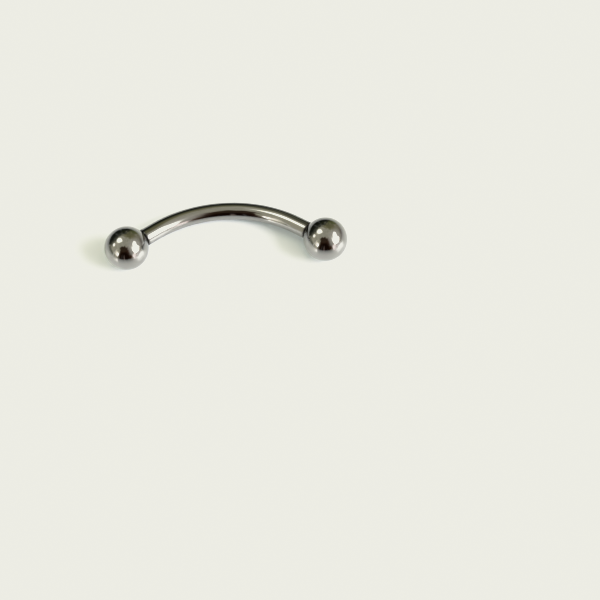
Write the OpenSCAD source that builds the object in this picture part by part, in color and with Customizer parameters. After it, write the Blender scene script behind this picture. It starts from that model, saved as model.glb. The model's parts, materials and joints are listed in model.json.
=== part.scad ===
// Curved piercing barbell: a bent bar with an internal thread at each end,
// and a ball with a threaded stud screwed into each. It lies on a flat surface
// at z = 0, on both balls and on the crown of its bend, with the balls along X
// and the crown towards +Y. All sizes are in millimetres.

/* [Bar] */
// Diameter of the bar
bar_d = 1.6; // [1.6:0.05:2]
// Clear width between the two balls, the length that the bar is sold by
wear_length = 14; // [12:0.5:16]
// Slope of each straight end to the line between the balls, in degrees
end_slope = 38; // [32:1:40]
// Length of the straight stretch at each end, measured to the end face
straight_end = 1.4; // [1:0.1:1.8]
// Chamfer round the outside of each end face
end_chamfer = 0.1; // [0.04:0.01:0.12]

/* [Balls] */
// Diameter of each ball
ball_d = 4; // [3.5:0.1:5]

/* [Thread] */
// Diameter of the stud over its thread crests
stud_d = 1.15; // [1:0.05:1.15]
// Length of the stud from the ball's surface to its tip
stud_length = 1.6; // [1.4:0.1:1.8]
// Distance from one thread crest to the next
thread_pitch = 0.28; // [0.24:0.02:0.32]
// Plain neck between the ball's surface and the first thread
neck_length = 0.35; // [0.2:0.05:0.4]
// Depth of each bore below its end face, to the start of its drill point
bore_depth = 2.1; // [2:0.1:2.4]
// Gap between the stud's crests and the wall of the bore
bore_clearance = 0.03; // [0.02:0.01:0.05]
// Width of the countersink round the mouth of each bore
mouth_chamfer = 0.06; // [0.04:0.01:0.08]
// Gap left where a ball that is screwed home meets the mouth of its bore
seat_gap = 0.02; // [0.02:0.01:0.05]

/* [Hidden] */

bar_r = bar_d / 2;
ball_r = ball_d / 2;
stud_r = stud_d / 2;
bore_r = stud_r + bore_clearance;
mouth_r = bore_r + mouth_chamfer;

// A 60 degree thread: flat crests an eighth of the pitch wide, and flanks that
// rise by the depth over a run of depth * tan(30)
thread_depth = 0.6 * thread_pitch;
crest_width = thread_pitch / 8;
flank_run = thread_depth * tan(30);
root_r = stud_r - thread_depth;
tip_chamfer = thread_depth;
// How far the stud's core reaches into the ball, so that the two are one solid
stud_root = ball_r / 4;
drill_point_angle = 118;
drill_point = bore_r / tan(drill_point_angle / 2);

// From a ball's centre to the end face it seats on, and on to the bend's start
seat_reach = sqrt(ball_r * ball_r - mouth_r * mouth_r) + seat_gap;
end_reach = seat_reach + straight_end;
bend_r = (wear_length / 2 + ball_r - end_reach * cos(end_slope)) / sin(end_slope);

// Heights above the centre of the bend, in the plane of the bar
chord_height = bend_r * cos(end_slope) - end_reach * sin(end_slope);
crown_rise = bend_r - chord_height;

// The balls are thicker than the bar, so its crown drops until it touches down
rest_tilt = asin((ball_r - bar_r) / crown_rise);
y_centre = (crown_rise * cos(rest_tilt) + bar_r - ball_r) / 2;

// How far past the crown each half of the bend runs, so that the halves are one solid
crown_overlap = 4;

metal = [0.62, 0.62, 0.6];
curve_fn = 96;
bend_fn = 240;

// Lays the plane of the bar, drawn round the centre of its bend with the right
// end at angle 0, down on the surface and centres it on the origin
module at_rest() {
    translate([0, -y_centre, ball_r])
        rotate([-rest_tilt, 0, 0])
            translate([0, -chord_height, 0])
                rotate([0, 0, 90 - end_slope])
                    children();
}

// Puts a child drawn for the right half of the bar on one side of it; side is -1
// for the left and 1 for the right
module on_side(side) {
    rotate([0, 0, side > 0 ? 0 : 2 * end_slope])
        mirror([0, side > 0 ? 0 : 1, 0])
            children();
}

// Puts a child drawn along +Z at one end of the bend, with +Z out along the
// straight end
module at_bend_end(side) {
    on_side(side)
        translate([bend_r, 0, 0])
            rotate([90, 0, 0])
                children();
}

// Half of the curved middle of the bar, an arc of a torus
module half_bend() {
    rotate_extrude(angle = end_slope + crown_overlap, $fn = bend_fn)
        translate([bend_r, 0])
            circle(r = bar_r, $fn = curve_fn);
}

// One straight end, from the bend to its chamfered end face
module straight() {
    rotate_extrude($fn = curve_fn)
        polygon([
            [0, 0],
            [bar_r, 0],
            [bar_r, straight_end - end_chamfer],
            [bar_r - end_chamfer, straight_end],
            [0, straight_end]
        ]);
}

// The bore that a stud screws into, with its countersink and drill point
module bore() {
    overrun = 0.1;
    rotate_extrude($fn = curve_fn)
        polygon([
            [0, straight_end + overrun],
            [mouth_r + overrun, straight_end + overrun],
            [bore_r, straight_end - mouth_chamfer],
            [bore_r, straight_end - bore_depth],
            [0, straight_end - bore_depth - drill_point]
        ]);
}

module bar() {
    color(metal)
        at_rest()
            difference() {
                for (side = [-1, 1]) {
                    on_side(side) half_bend();
                    at_bend_end(side) straight();
                }
                for (side = [-1, 1])
                    at_bend_end(side) bore();
            }
}

// The stud, pointing up from a ball at the origin: its core inside the ball, a
// plain neck, one ring for each turn of the thread, and a chamfered tip
module stud() {
    first_turn = ball_r + neck_length;
    tip = ball_r + stud_length;
    turns = floor((tip - tip_chamfer - first_turn) / thread_pitch);
    thread = [
        for (turn = [0 : turns - 1])
            let (start = first_turn + turn * thread_pitch)
                each [
                    [root_r, start],
                    [stud_r, start + flank_run],
                    [stud_r, start + flank_run + crest_width],
                    [root_r, start + 2 * flank_run + crest_width]
                ]
    ];
    rotate_extrude($fn = curve_fn)
        polygon(concat(
            [[0, ball_r - stud_root], [root_r, ball_r - stud_root]],
            thread,
            [[root_r, tip - tip_chamfer], [root_r - tip_chamfer / 2, tip], [0, tip]]
        ));
}

// One ball with its stud, screwed home
module ball(side) {
    color(metal)
        at_rest()
            at_bend_end(side)
                translate([0, 0, end_reach])
                    mirror([0, 0, 1])
                        union() {
                            sphere(r = ball_r, $fn = curve_fn);
                            stud();
                        }
}

module left_ball() {
    ball(-1);
}

module right_ball() {
    ball(1);
}

bar();
left_ball();
right_ball();
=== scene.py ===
"""A curved piercing barbell of polished metal, lying on a pale floor.

The CAD frame gives the places of the parts and how they move. This script draws each
part again as a finer mesh in the same place, with the helical threads that the CAD
shows as rings, and adds the metal, the floor, the light and the camera.
Lengths are in millimetres until a mesh or the camera is made, and then in metres.
"""

import json
import math
from collections import namedtuple

import bpy
import numpy as np
from mathutils import Matrix, Vector


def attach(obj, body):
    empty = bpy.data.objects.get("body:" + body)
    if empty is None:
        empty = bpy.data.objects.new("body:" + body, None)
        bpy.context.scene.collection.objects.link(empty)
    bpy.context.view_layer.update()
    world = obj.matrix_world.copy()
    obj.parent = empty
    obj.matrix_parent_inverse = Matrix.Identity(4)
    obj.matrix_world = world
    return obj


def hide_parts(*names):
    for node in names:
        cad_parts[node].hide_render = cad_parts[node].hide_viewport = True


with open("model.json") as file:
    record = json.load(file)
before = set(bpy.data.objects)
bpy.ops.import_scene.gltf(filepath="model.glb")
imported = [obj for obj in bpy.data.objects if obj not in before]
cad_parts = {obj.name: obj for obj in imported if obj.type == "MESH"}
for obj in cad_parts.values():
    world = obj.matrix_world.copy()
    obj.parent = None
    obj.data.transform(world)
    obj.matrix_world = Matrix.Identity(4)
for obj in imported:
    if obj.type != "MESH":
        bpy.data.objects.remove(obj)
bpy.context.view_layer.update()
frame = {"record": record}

MM = 0.001
TURN = 2 * math.pi
QUARTER = math.pi / 2

# The driving dimensions, the same as the CAD's
BAR_R = 0.8
BALL_R = 2.0
WEAR_LENGTH = 14.0
END_SLOPE = math.radians(38)
STRAIGHT_END = 1.4
END_CHAMFER = 0.1
STUD_R = 0.575
STUD_LENGTH = 1.6
PITCH = 0.28
NECK_LENGTH = 0.35
BORE_DEPTH = 2.1
BORE_CLEARANCE = 0.03
MOUTH_CHAMFER = 0.06
SEAT_GAP = 0.02
THREAD_ANGLE = math.radians(60)
DRILL_POINT_ANGLE = math.radians(118)

# Derived sizes, worked out as in the CAD
BORE_R = STUD_R + BORE_CLEARANCE
MOUTH_R = BORE_R + MOUTH_CHAMFER
THREAD_DEPTH = 0.6 * PITCH
CREST_WIDTH = PITCH / 8
FLANK_RUN = THREAD_DEPTH * math.tan(THREAD_ANGLE / 2)
ROOT_R = STUD_R - THREAD_DEPTH
TIP = BALL_R + STUD_LENGTH
TIP_CHAMFER = THREAD_DEPTH
TIP_R = ROOT_R - TIP_CHAMFER / 2
BORE_BOTTOM = BORE_DEPTH + BORE_R / math.tan(DRILL_POINT_ANGLE / 2)
FACE_R = BAR_R - END_CHAMFER
SEAT_REACH = math.sqrt(BALL_R**2 - MOUTH_R**2) + SEAT_GAP
END_REACH = SEAT_REACH + STRAIGHT_END
BALL_X = WEAR_LENGTH / 2 + BALL_R
BEND_R = (BALL_X - END_REACH * math.cos(END_SLOPE)) / math.sin(END_SLOPE)
HALF_BEND = BEND_R * END_SLOPE
HALF_LENGTH = HALF_BEND + STRAIGHT_END
CHORD_HEIGHT = BEND_R * math.cos(END_SLOPE) - END_REACH * math.sin(END_SLOPE)
CROWN_RISE = BEND_R - CHORD_HEIGHT
REST_TILT = math.asin((BALL_R - BAR_R) / CROWN_RISE)
Y_CENTRE = (CROWN_RISE * math.cos(REST_TILT) + BAR_R - BALL_R) / 2

# Detail that only these meshes have: the fillet between ball and stud, the cone that cuts
# the thread down towards the tip, the tip's rounded edge and the thread in the bore
STUD_FILLET = 0.05
FILLET_TOP = ROOT_R + STUD_FILLET
TIP_CONE = 1.6 * THREAD_DEPTH
TIP_ROUNDING = 0.03
GROOVE_DEPTH = 0.07

# How far painted shade, for the dark gap where ball and bar meet, reaches from the rim of a
# joint over the ball and along the bar, and how much of it there is on the bar; and how much
# grime there is on what the closed joint hides; both as shares of the rim's
BALL_JOINT_SHADE_REACH = 0.2
BAR_JOINT_SHADE_REACH = 0.16
BAR_JOINT_SHADE = 0.6
HIDDEN_GRIME = 0.3

# How finely the meshes are drawn, and the angle from which an edge is sharp
BALL_SIDES = 160
BAR_SIDES = 128
BALL_RINGS = 110
RINGS_PER_PITCH = 24
THREAD_STEP = PITCH / RINGS_PER_PITCH
BEND_RINGS = 96
STRAIGHT_RINGS = 12
CONE_RINGS = 6
EDGE_RINGS = 6
SHARP_ANGLE = math.radians(42)

# The polished metal's roughness, and what smudges and the grime with painted shade add to it
POLISH_ROUGHNESS = 0.04
SMUDGE_ROUGHNESS = 0.04
SHADE_AND_GRIME_ROUGHNESS = 0.25

# The colour of smudges and of the grime with painted shade, how much of the metal's colour
# each hides, and how much of the grime and shade there is where it lies thinnest
SHADE_AND_GRIME_COLOUR = (0.02, 0.018, 0.015)
SMUDGE_COVER = 0.06
SHADE_AND_GRIME_COVER = 0.95
THINNEST_SHADE_AND_GRIME = 0.65

# How high the metal's faint marks stand, how strongly they show, and how much higher its
# slow waves are
MARK_HEIGHT = 0.0015
MARK_STRENGTH = 0.5
WAVE_SHARE = 3.0

# Half the width of the floor
FLOOR_HALF = 3000.0

# The photograph's camera: its height over the horizon, its roll about its own axis,
# its distance from the barbell, the scale there, and where the middle of the line
# between the balls' feet falls in the 600 x 600 frame
CAMERA_HEIGHT = math.radians(63.6)
CAMERA_ROLL = math.radians(-2.6)
CAMERA_DISTANCE = 130.0
PIXELS_PER_MM = 10.905
TARGET_PIXEL = (227.5, 254.0)
FRAME_PIXELS = 600
SENSOR_MM = 36.0

# The nearest and farthest that the camera sees
NEAREST_SEEN = 5.0
FARTHEST_SEEN = 50000.0

# The film's white in red, green and blue, how light it can still record, and the tones
# between black and white that it gives to light, both as shares of its white
FILM_WHITE = (0.842, 0.842, 0.776)
FILM_REACH = 2.0
FILM_TONES = ((0.06, 0.038), (0.24, 0.18), (0.54, 0.44), (0.78, 0.78), (0.92, 0.94), (1.05, 1.0))

# How far the studio is turned about the vertical
STUDIO_TURN = math.radians(-2.3)

# The key light: where it stands, how wide it looks, its strength and its colour
KEY_AZIMUTH = math.radians(106)
KEY_HEIGHT = math.radians(35)
KEY_WIDTH = math.radians(32)
KEY_STRENGTH = 1.96
KEY_COLOUR = (1.0, 0.97, 1.06)

# The room's light at its sides and top, and the heights in radians between which the one
# turns into the other
ROOM_SIDES = (0.76, 0.725, 0.55)
ROOM_TOP = (0.68, 0.65, 0.51)
ROOM_TOP_FROM = 0.6
ROOM_TOP_TO = 1.4

# How far the edges of the studio's patches wander, as a share of their size, and how much
# broad and fine streaks vary the light
EDGE_WANDER = 0.8
STREAK_VARIATION = 0.9
FINE_VARIATION = 0.7

# A patch of light or shade round the studio, as seen from the barbell. Azimuth 0 is away
# from the camera and 90 to its right, and all sizes are in degrees. A squareness of 2 is
# an oval, and more is nearer to a rectangle; softness is the share of the size over which
# the edge fades.
Patch = namedtuple("Patch", "azimuth height half_width half_height squareness softness light")

PATCHES = (
    # The room beyond the barbell, and the dark card that stands there with two faint gleams
    Patch(45, 16, 50, 34, 2, 0.9, (0.47, 0.44, 0.32)),
    Patch(18, 41, 34, 21, 2, 0.9, (0.31, 0.295, 0.16)),
    Patch(72, 2, 19, 14, 2, 0.9, (0.3, 0.26, 0.23)),
    Patch(15, 8, 20, 15, 2, 0.9, (0.22, 0.23, 0.1)),
    Patch(-98, 2, 24, 9, 2, 0.9, (0.3, 0.3, 0.23)),
    Patch(-38, 18, 44, 26, 3, 0.5, (0.13, 0.135, 0.1)),
    Patch(-38, 12, 38, 14, 3, 0.9, (0.025, 0.03, 0.018)),
    Patch(-20, 3, 32, 11, 3, 0.9, (0.012, 0.015, 0.008)),
    Patch(-11, 24, 6, 10, 2, 0.9, (0.04, 0.045, 0.02)),
    Patch(-38, 19, 2.5, 12, 2, 0.9, (0.14, 0.15, 0.13)),
    Patch(-19, 4, 2.5, 12, 2, 0.9, (0.1, 0.11, 0.1)),
    # The dark card behind the camera, with two more gleams
    Patch(148, 26, 20, 38, 2, 0.9, (0.38, 0.31, 0.27)),
    Patch(182, 22, 32, 43, 3, 0.4, (0.08, 0.036, 0.018)),
    Patch(161, 10, 13, 10, 3, 0.8, (0.09, 0.04, 0.015)),
    Patch(184, 12, 24, 28, 3, 0.6, (0.02, 0.008, 0.004)),
    Patch(-164, 54, 32, 14, 2, 0.6, (0.085, 0.053, 0.03)),
    Patch(187, 6, 2.5, 16, 3, 0.9, (0.26, 0.2, 0.17)),
    Patch(198, 10, 1.5, 14, 3, 0.9, (0.12, 0.1, 0.09)),
    # The softbox to the right, with its glow
    Patch(103, 36, 46, 34, 2, 0.9, (0.85, 0.81, 0.7)),
    Patch(137, 7, 10, 12, 2, 0.9, (1.7, 1.55, 1.45)),
    Patch(91, 43, 19, 9, 2.5, 0.7, (2.9, 2.9, 2.7)),
    Patch(116, 45, 15, 8, 2, 1.1, (1.55, 1.53, 1.4)),
    Patch(111, 26, 20.5, 16, 2.5, 0.7, (4.4, 4.3, 4.1)),
    Patch(118, 3, 16, 4, 3, 0.8, (1.2, 1.15, 1.07)),
    # The lamps to the left: one high up, one below it, and a low group nearer the camera
    Patch(-63, 59, 21, 13, 2, 1.1, (2.8, 2.8, 2.45)),
    Patch(-90, 31, 8, 7, 2, 0.9, (2.2, 2.15, 1.9)),
    Patch(-134, 19, 9, 11, 2, 0.9, (1.9, 1.8, 1.6)),
    Patch(-140, 17, 3.5, 9, 2, 0.8, (3.2, 3.05, 2.85)),
    Patch(-124, 24, 4, 12, 2, 0.9, (1.35, 1.3, 1.1)),
    Patch(-120, 4, 2, 20, 2, 0.9, (1.1, 1.08, 0.95)),
)


# Places in the row's frame


def to_row(along_chord, rise, off):
    """A point of the bar's own plane, or off it, in the row's frame."""
    cosine, sine = math.cos(REST_TILT), math.sin(REST_TILT)
    towards_crown = rise * cosine + off * sine
    upward = off * cosine - rise * sine
    return np.array([along_chord, towards_crown - Y_CENTRE, upward + BALL_R])


def direction(along_chord, rise, off):
    """A direction of the bar's own plane, or off it, in the row's frame."""
    return to_row(along_chord, rise, off) - to_row(0, 0, 0)


PLANE_NORMAL = direction(0, 0, 1)

# Where a ring of points lies: its centre, and the two directions that span it
Section = namedtuple("Section", "centre across off")


def bar_section(distance):
    """The bar's section at a distance along it from its middle."""
    angle = max(-HALF_BEND, min(HALF_BEND, distance)) / BEND_R
    past_bend = distance - angle * BEND_R
    cosine, sine = math.cos(angle), math.sin(angle)
    along_chord = sine * BEND_R + cosine * past_bend
    rise = cosine * BEND_R - sine * past_bend - CHORD_HEIGHT
    return Section(to_row(along_chord, rise, 0), direction(sine, cosine, 0), PLANE_NORMAL)


def bore_section(side, depth):
    """A section at a depth below one end face (side -1 or 1), on the end's straight axis."""
    outward = direction(side * math.cos(END_SLOPE), -math.sin(END_SLOPE), 0)
    face = bar_section(side * HALF_LENGTH)
    return face._replace(centre=face.centre - outward * depth)


def ball_section(side, along):
    """A section of one ball, at a distance from its centre along its stud."""
    inward = direction(-side * math.cos(END_SLOPE), math.sin(END_SLOPE), 0)
    centre = to_row(side * BALL_X, 0, 0) + inward * along
    return Section(centre, np.cross(PLANE_NORMAL, inward), PLANE_NORMAL)


# Meshes


class Skin:
    """A closed surface built ring by ring, whose first and last rings are single points.

    Two values are kept for the metal's shader at each point: its place in the straightened
    piece, which turning and drawing marks follow, and how much grime and painted shade
    darken it there.
    """

    def __init__(self):
        self.rings, self.lay, self.shade_and_grime = [], [], []

    def add(self, section, along, radii, shade_and_grime):
        """Adds a ring, of a point for each of the radii."""
        count = len(radii)
        angles = np.arange(count) * TURN / count
        x, y = radii * np.cos(angles), radii * np.sin(angles)
        self.rings.append(section.centre + np.outer(x, section.across) + np.outer(y, section.off))
        self.lay.append(np.stack([x, y, np.full(count, along)], 1))
        self.shade_and_grime.append(np.full(count, shade_and_grime))

    def faces(self):
        """The faces between the rings, each as the numbers of its points."""
        start = 0
        for ring, following in zip(self.rings, self.rings[1:]):
            after = start + len(ring)
            count = max(len(ring), len(following))
            for here in range(count):
                beside = (here + 1) % count
                if len(ring) == 1:
                    yield start, after + beside, after + here
                elif len(following) == 1:
                    yield start + here, start + beside, after
                else:
                    yield start + here, start + beside, after + beside, after + here
            start = after

    def make(self, name):
        """Makes the mesh and the object that shows it."""
        mesh = bpy.data.meshes.new(name)
        mesh.from_pydata(np.concatenate(self.rings) * MM, [], list(self.faces()))
        lay = mesh.attributes.new("lay", "FLOAT_VECTOR", "POINT")
        lay.data.foreach_set("vector", np.concatenate(self.lay).astype(np.float32).ravel())
        shade_and_grime = mesh.attributes.new("shade_and_grime", "FLOAT", "POINT")
        shade_and_grime.data.foreach_set("value", np.concatenate(self.shade_and_grime).astype(np.float32))
        mesh.shade_smooth()
        mesh.set_sharp_from_angle(angle=SHARP_ANGLE)
        mesh.update()
        piece = bpy.data.objects.new(name, mesh)
        bpy.context.collection.objects.link(piece)
        return piece


def point():
    """The radii of a ring that is a single point."""
    return np.zeros(1)


def even(radius, sides):
    """The radii of a round ring."""
    return np.full(sides, float(radius))


def steps(end, count):
    """Even steps from 0, which is left out, to end."""
    return [end * step / count for step in range(1, count + 1)]


def ease(value, start, end):
    """Rises smoothly from 0 at start to 1 at end."""
    share = np.clip((value - start) / (end - start), 0, 1)
    return share * share * (3 - 2 * share)


def thread(along, first, last, sides, hand):
    """How far up the thread's flank each point of a ring is, from 0 at the root to 1 on the crest.

    The thread rises a pitch a turn, and runs out over a pitch at first and last. Its hand
    is 1 or -1, for the way it turns.
    """
    phase = along / PITCH - hand * np.arange(sides) / sides
    from_crest = np.abs(phase % 1 - 0.5) - CREST_WIDTH / PITCH / 2
    run_out = ease(along, first, first + PITCH) * ease(-along, -last, PITCH - last)
    return ease(-from_crest, -FLANK_RUN / PITCH, 0) * run_out


def joint_shade_and_grime(radius):
    """Painted shade for the dark gap at a joint, on a ball or an end face, most at the rim where
    the two meet; inside the rim it fades to the grime of what the joint hides.
    """
    if radius < FACE_R:
        return HIDDEN_GRIME + (1 - HIDDEN_GRIME) * ease(radius, BORE_R, FACE_R)
    return ease(-radius, -(FACE_R + BALL_JOINT_SHADE_REACH), -FACE_R)


# Each function of rings gives, for each ring, its place along the piece, its radii and
# its grime and painted shade


def sphere_rings():
    """A ball, from its far pole to the fillet round its stud."""
    yield -BALL_R, point(), 0.0
    for angle in steps(math.pi - math.asin(FILLET_TOP / BALL_R), BALL_RINGS):
        radius = BALL_R * math.sin(angle)
        # Only the half of the ball that faces the bar gets the painted shade of the joint
        facing_bar = angle > QUARTER
        yield -BALL_R * math.cos(angle), even(radius, BALL_SIDES), facing_bar * joint_shade_and_grime(radius)


def stud_rings():
    """A ball's stud: its fillet, its plain neck and its thread, down to the cone of the tip."""
    foot = math.sqrt(BALL_R**2 - FILLET_TOP**2)
    for angle in steps(QUARTER, EDGE_RINGS):
        along = foot + STUD_FILLET * (1 - math.cos(angle))
        radius = FILLET_TOP - STUD_FILLET * math.sin(angle)
        yield along, even(radius, BALL_SIDES), HIDDEN_GRIME
    first = BALL_R + NECK_LENGTH
    for along in np.arange(first, TIP - TIP_CHAMFER / 2, THREAD_STEP):
        height = thread(along, first, TIP, BALL_SIDES, 1)
        cone = STUD_R - max(0, along - (TIP - TIP_CONE))
        yield along, np.minimum(ROOT_R + THREAD_DEPTH * height, cone), HIDDEN_GRIME


def tip_rings():
    """The rounded edge of a stud's tip and its flat end."""
    for angle in steps(QUARTER, EDGE_RINGS):
        along = TIP - TIP_ROUNDING * (1 - math.sin(angle))
        radius = TIP_R + TIP_ROUNDING * math.cos(angle)
        yield along, even(radius, BALL_SIDES), HIDDEN_GRIME
    yield TIP, even(TIP_R / 2, BALL_SIDES), HIDDEN_GRIME
    yield TIP, point(), HIDDEN_GRIME


def make_ball(name, side):
    """A ball with its stud, on the left for side -1 and on the right for 1."""
    skin = Skin()
    for along, radii, shade_and_grime in (*sphere_rings(), *stud_rings(), *tip_rings()):
        skin.add(ball_section(side, along), along, radii, shade_and_grime)
    return skin.make(name)


def bore_rings(side):
    """A bore, from its drill point over its thread to its mouth, by depth below the end face."""
    yield BORE_BOTTOM, point(), HIDDEN_GRIME
    for share in steps(1, CONE_RINGS):
        depth = BORE_BOTTOM + (BORE_DEPTH - BORE_BOTTOM) * share
        yield depth, even(BORE_R * share, BAR_SIDES), HIDDEN_GRIME
    for depth in np.arange(BORE_DEPTH - THREAD_STEP, MOUTH_CHAMFER, -THREAD_STEP):
        # Seen down the bore, a section's points run the other way round at the right end
        groove = thread(depth, -PITCH, BORE_DEPTH, BAR_SIDES, -side)
        yield depth, BORE_R + GROOVE_DEPTH * groove, HIDDEN_GRIME
    for share in (0, *steps(1, EDGE_RINGS)):
        radius = BORE_R + MOUTH_CHAMFER * share
        yield MOUTH_CHAMFER * (1 - share), even(radius, BAR_SIDES), joint_shade_and_grime(radius)


def rim_rings():
    """The rounded rim of an end face, from the face out to the bar, by depth below the face."""
    # The face's rim is darkest, painted shade for the gap at the joint, fading along the rounding
    yield 0, even(FACE_R, BAR_SIDES), 1.0
    for angle in steps(QUARTER, 2 * EDGE_RINGS):
        radius = FACE_R + END_CHAMFER * math.sin(angle)
        shade_and_grime = BAR_JOINT_SHADE + (1 - BAR_JOINT_SHADE) * math.cos(angle)
        yield END_CHAMFER * (1 - math.cos(angle)), even(radius, BAR_SIDES), shade_and_grime


def shaft_rings():
    """The bar between its two rims, by distance from its middle."""
    straight = np.linspace(END_CHAMFER, STRAIGHT_END, STRAIGHT_RINGS)[1:-1]
    bend = np.linspace(-HALF_BEND, HALF_BEND, BEND_RINGS)
    for distance in (*(straight - HALF_LENGTH), *bend, *(HALF_LENGTH - straight[::-1])):
        # Painted shade darkens the bar towards each end, next to the joint's gap
        past_face = abs(distance) - HALF_LENGTH
        share = ease(past_face, -END_CHAMFER - BAR_JOINT_SHADE_REACH, -END_CHAMFER)
        yield distance, even(BAR_R, BAR_SIDES), BAR_JOINT_SHADE * share


def make_bar(name):
    """The bar, from its left bore over its outside to its right bore."""
    skin = Skin()
    for depth, radii, shade_and_grime in (*bore_rings(-1), *rim_rings()):
        skin.add(bore_section(-1, depth), depth - HALF_LENGTH, radii, shade_and_grime)
    for distance, radii, shade_and_grime in shaft_rings():
        skin.add(bar_section(distance), distance, radii, shade_and_grime)
    for depth, radii, shade_and_grime in reversed((*bore_rings(1), *rim_rings())):
        skin.add(bore_section(1, depth), HALF_LENGTH - depth, radii, shade_and_grime)
    return skin.make(name)


# Shaders


class Tree:
    """Adds nodes to a shader tree; an input is a number, a colour or another node's output."""

    def __init__(self, owner):
        owner.use_nodes = True
        self.nodes = owner.node_tree.nodes
        self.links = owner.node_tree.links
        self.nodes.clear()

    def add(self, kind, inputs, **settings):
        node = self.nodes.new(kind)
        for name, value in settings.items():
            setattr(node, name, value)
        for key, value in inputs.items():
            if isinstance(value, bpy.types.NodeSocket):
                self.links.new(value, node.inputs[key])
            else:
                node.inputs[key].default_value = value
        return node.outputs

    def math(self, operation, *values):
        return self.add("ShaderNodeMath", dict(enumerate(values)), operation=operation)[0]

    def ease(self, value, low, high):
        """0 where value is at low, 1 at high, smooth between; low may be the greater."""
        inputs = {"Value": value, "From Min": low, "From Max": high}
        return self.add("ShaderNodeMapRange", inputs, interpolation_type="SMOOTHSTEP")[0]

    def vary(self, noise, amount):
        """A factor round 1, which a noise from 0 to 1 varies by an amount in all."""
        return self.math("MULTIPLY_ADD", noise, amount, 1 - amount / 2)

    def mix(self, share, before, after):
        """Mixes two colours, for which the node has inputs 6 and 7 and output 2."""
        return self.add("ShaderNodeMix", {0: share, 6: before, 7: after}, data_type="RGBA")[2]

    def noise(self, place, scale, detail=2.0, roughness=0.6):
        inputs = {"Vector": place, "Scale": scale, "Detail": detail, "Roughness": roughness}
        return self.add("ShaderNodeTexNoise", inputs)["Fac"]

    def stretch(self, place, scale):
        return self.add("ShaderNodeMapping", {"Vector": place, "Scale": scale})[0]

    def attribute(self, name, output):
        return self.add("ShaderNodeAttribute", {}, attribute_name=name)[output]


def colour(red, green, blue):
    """A colour as a shader's input takes it."""
    return (red, green, blue, 1.0)


def marks_along(tree, place):
    """The heights of drawing marks that run along the piece, on slow waves."""
    lines = tree.noise(tree.stretch(place, (9.0, 9.0, 0.35)), scale=1.0, detail=3.0)
    waves = tree.noise(place, scale=1.3, detail=1.0, roughness=0.5)
    return tree.math("MULTIPLY_ADD", waves, WAVE_SHARE, lines)


def polished_metal(name, slot):
    """Mirror polished metal, with faint marks along it and darker, duller metal where grime and
    painted shade lie.
    """
    row = next(m for m in frame["record"]["materials"] if m["slot"] == slot)
    material = bpy.data.materials.new(name)
    tree = Tree(material)
    place = tree.attribute("lay", "Vector")

    smudge = tree.ease(tree.noise(place, scale=0.9, detail=4.0), 0.5, 0.75)
    blotch = tree.ease(tree.noise(place, scale=7.0, detail=3.0), 0.35, 0.65)
    # The grime and painted shade from the mesh, made blotchy so that it lies thinner in places
    evenness = tree.math("MULTIPLY_ADD", blotch, 1 - THINNEST_SHADE_AND_GRIME, THINNEST_SHADE_AND_GRIME)
    shade_and_grime = tree.math("MULTIPLY", tree.attribute("shade_and_grime", "Fac"), evenness)

    tint, dull = colour(*row["base_color"][:3]), colour(*SHADE_AND_GRIME_COLOUR)
    roughness = POLISH_ROUGHNESS
    # Smudges, then the grime with painted shade, darken the metal's colour and make it rougher
    layers = ((smudge, SMUDGE_COVER, SMUDGE_ROUGHNESS), (shade_and_grime, SHADE_AND_GRIME_COVER, SHADE_AND_GRIME_ROUGHNESS))
    for layer, cover, added_roughness in layers:
        tint = tree.mix(tree.math("MULTIPLY", layer, cover), tint, dull)
        roughness = tree.math("MULTIPLY_ADD", layer, added_roughness, roughness)

    marks = {
        "Strength": MARK_STRENGTH,
        "Distance": MARK_HEIGHT * MM,
        "Height": marks_along(tree, place),
    }
    bump = tree.add("ShaderNodeBump", marks)[0]
    shader = tree.add(
        "ShaderNodeBsdfPrincipled",
        {"Base Color": tint, "Metallic": 1.0, "Roughness": roughness, "Normal": bump},
    )[0]
    tree.add("ShaderNodeOutputMaterial", {"Surface": shader})
    return material


def lit_acrylic():
    """A pale glossy sheet that glows a little, as if lit from below."""
    material = bpy.data.materials.new("lit_acrylic")
    tree = Tree(material)
    shader = tree.add(
        "ShaderNodeBsdfPrincipled",
        {
            "Base Color": colour(0.85, 0.85, 0.83),
            "Roughness": 0.2,
            "Emission Color": colour(0.83, 0.98, 1.0),
            "Emission Strength": 0.215,
            "Coat Weight": 0.65,
            "Coat Roughness": 0.045,
            "Coat IOR": 1.65,
        },
    )[0]
    tree.add("ShaderNodeOutputMaterial", {"Surface": shader})
    return material


# The studio


def make_floor():
    """The flat sheet that the barbell lies on, far wider than the picture."""
    half = FLOOR_HALF * MM
    mesh = bpy.data.meshes.new("floor")
    corners = [(-half, -half, 0), (half, -half, 0), (half, half, 0), (-half, half, 0)]
    mesh.from_pydata(corners, [], [(0, 1, 2, 3)])
    mesh.materials.append(lit_acrylic())
    floor = bpy.data.objects.new("floor", mesh)
    bpy.context.collection.objects.link(floor)


def share_inside(tree, patch, azimuth, height, wander):
    """How far a direction lies inside a patch of the studio, from 0 outside it to 1."""
    across = tree.math("SUBTRACT", azimuth, math.radians(patch.azimuth))
    across = tree.math("WRAP", across, math.pi, -math.pi)
    up = tree.math("SUBTRACT", height, math.radians(patch.height))
    reach = 0.0
    for offset, half in ((across, patch.half_width), (up, patch.half_height)):
        share = tree.math("ABSOLUTE", tree.math("DIVIDE", offset, math.radians(half)))
        reach = tree.math("ADD", tree.math("POWER", share, patch.squareness), reach)
    reach = tree.math("POWER", reach, 1 / patch.squareness)
    reach = tree.math("ADD", wander, reach)
    return tree.ease(reach, 1 + patch.softness / 2, 1 - patch.softness / 2)


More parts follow.
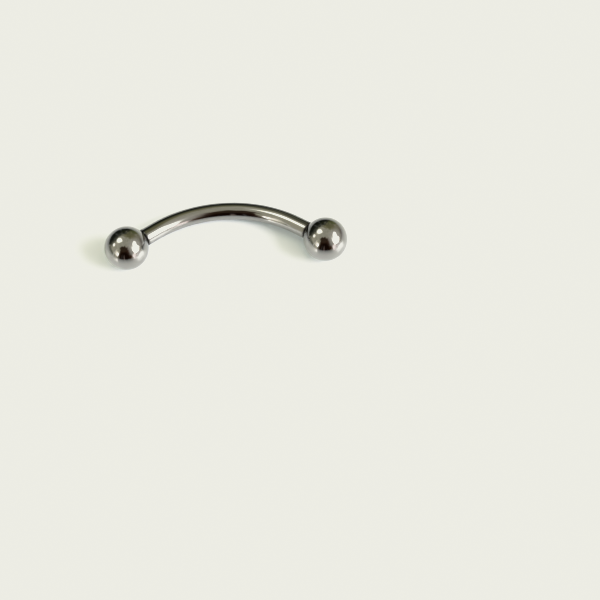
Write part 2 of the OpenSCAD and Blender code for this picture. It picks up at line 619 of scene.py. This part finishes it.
def make_world():
    """The room round the barbell, with its patches of light and shade, a little streaky."""
    world = bpy.data.worlds.new("studio")
    bpy.context.scene.world = world
    tree = Tree(world)
    toward = tree.add("ShaderNodeTexCoord", {})["Generated"]
    turn = {"Vector": toward, "Angle": -STUDIO_TURN}
    turned = tree.add("ShaderNodeVectorRotate", turn, rotation_type="Z_AXIS")[0]
    axes = tree.add("ShaderNodeSeparateXYZ", {"Vector": turned})
    azimuth = tree.math("ARCTAN2", axes["X"], axes["Y"])
    height = tree.math("ARCSINE", axes["Z"])
    streaks = tree.noise(tree.stretch(toward, (1, 1, 0.35)), scale=7.0, detail=3.0)
    fine_streaks = tree.noise(tree.stretch(toward, (1, 1, 0.15)), scale=28.0)
    wander = tree.math("MULTIPLY_ADD", streaks, EDGE_WANDER, -EDGE_WANDER / 2)

    nearness_to_top = tree.ease(height, ROOM_TOP_FROM, ROOM_TOP_TO)
    light = tree.mix(nearness_to_top, colour(*ROOM_SIDES), colour(*ROOM_TOP))
    for patch in PATCHES:
        share = share_inside(tree, patch, azimuth, height, wander)
        light = tree.mix(share, light, colour(*patch.light))
    broad, fine = tree.vary(streaks, STREAK_VARIATION), tree.vary(fine_streaks, FINE_VARIATION)
    shown = {"Color": light, "Strength": tree.math("MULTIPLY", fine, broad)}
    background = tree.add("ShaderNodeBackground", shown)[0]
    tree.add("ShaderNodeOutputWorld", {"Surface": background})


def make_key():
    """A soft key light from the side of the softbox, whose own image the metal does not show."""
    key = bpy.data.objects.new("key", bpy.data.lights.new("key", "SUN"))
    bpy.context.collection.objects.link(key)
    key.data.energy = KEY_STRENGTH
    key.data.angle = KEY_WIDTH
    key.data.color = KEY_COLOUR
    key.visible_glossy = False
    unturned = Vector((math.sin(KEY_AZIMUTH), math.cos(KEY_AZIMUTH), math.tan(KEY_HEIGHT)))
    toward = Matrix.Rotation(STUDIO_TURN, 3, "Z") @ unturned
    key.rotation_euler = toward.to_track_quat("Z", "Y").to_euler()


def set_film():
    """A film with a little contrast, on which the floor comes out even and pale."""
    view = bpy.context.scene.view_settings
    view.view_transform = "Standard"
    view.use_curve_mapping = True
    curves = view.curve_mapping
    curves.clip_max_x = FILM_REACH
    for channel, white in zip(curves.curves, FILM_WHITE):
        knots = channel.points
        knots[0].location = (0, 0)
        knots[1].location = (FILM_REACH, white)
        for light, tone in FILM_TONES:
            knots.new(light * white, tone * white)
        for knot in knots:
            knot.handle_type = "AUTO_CLAMPED"
    curves.update()


def make_camera():
    """The photograph's camera, placed so that the barbell falls where it does there."""
    forward = Vector((0, math.cos(CAMERA_HEIGHT), -math.sin(CAMERA_HEIGHT)))
    right = Matrix.Rotation(CAMERA_ROLL, 3, -forward) @ Vector((1, 0, 0))
    up = right.cross(forward)
    focal_pixels = PIXELS_PER_MM * CAMERA_DISTANCE
    to_right = (TARGET_PIXEL[0] - FRAME_PIXELS / 2) / focal_pixels
    to_top = (FRAME_PIXELS / 2 - TARGET_PIXEL[1]) / focal_pixels
    target = Vector((0, -Y_CENTRE, 0))
    place = target - (forward + to_right * right + to_top * up) * CAMERA_DISTANCE
    camera = bpy.data.objects.new("camera", bpy.data.cameras.new("camera"))
    bpy.context.collection.objects.link(camera)
    camera.data.sensor_width = SENSOR_MM
    camera.data.lens = focal_pixels * SENSOR_MM / FRAME_PIXELS
    camera.data.clip_start = NEAREST_SEEN * MM
    camera.data.clip_end = FARTHEST_SEEN * MM
    axes = Matrix((right, up, -forward)).transposed()
    camera.matrix_world = Matrix.Translation(place * MM) @ axes.to_4x4()
    bpy.context.scene.camera = camera


def main():
    set_film()
    make_camera()
    make_world()
    make_key()
    make_floor()
    bar_metal = polished_metal("polished_bar", "bar_metal")
    ball_metal = polished_metal("polished_ball", "ball_metal")
    pieces = {
        "bar": (make_bar("polished_bar"), bar_metal, "bar_metal"),
        "left_ball": (make_ball("polished_left_ball", -1), ball_metal, "ball_metal"),
        "right_ball": (make_ball("polished_right_ball", 1), ball_metal, "ball_metal"),
    }
    for node, (piece, material, slot) in pieces.items():
        piece.data.materials.append(material)
        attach(piece, node)
        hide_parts(node)


main()
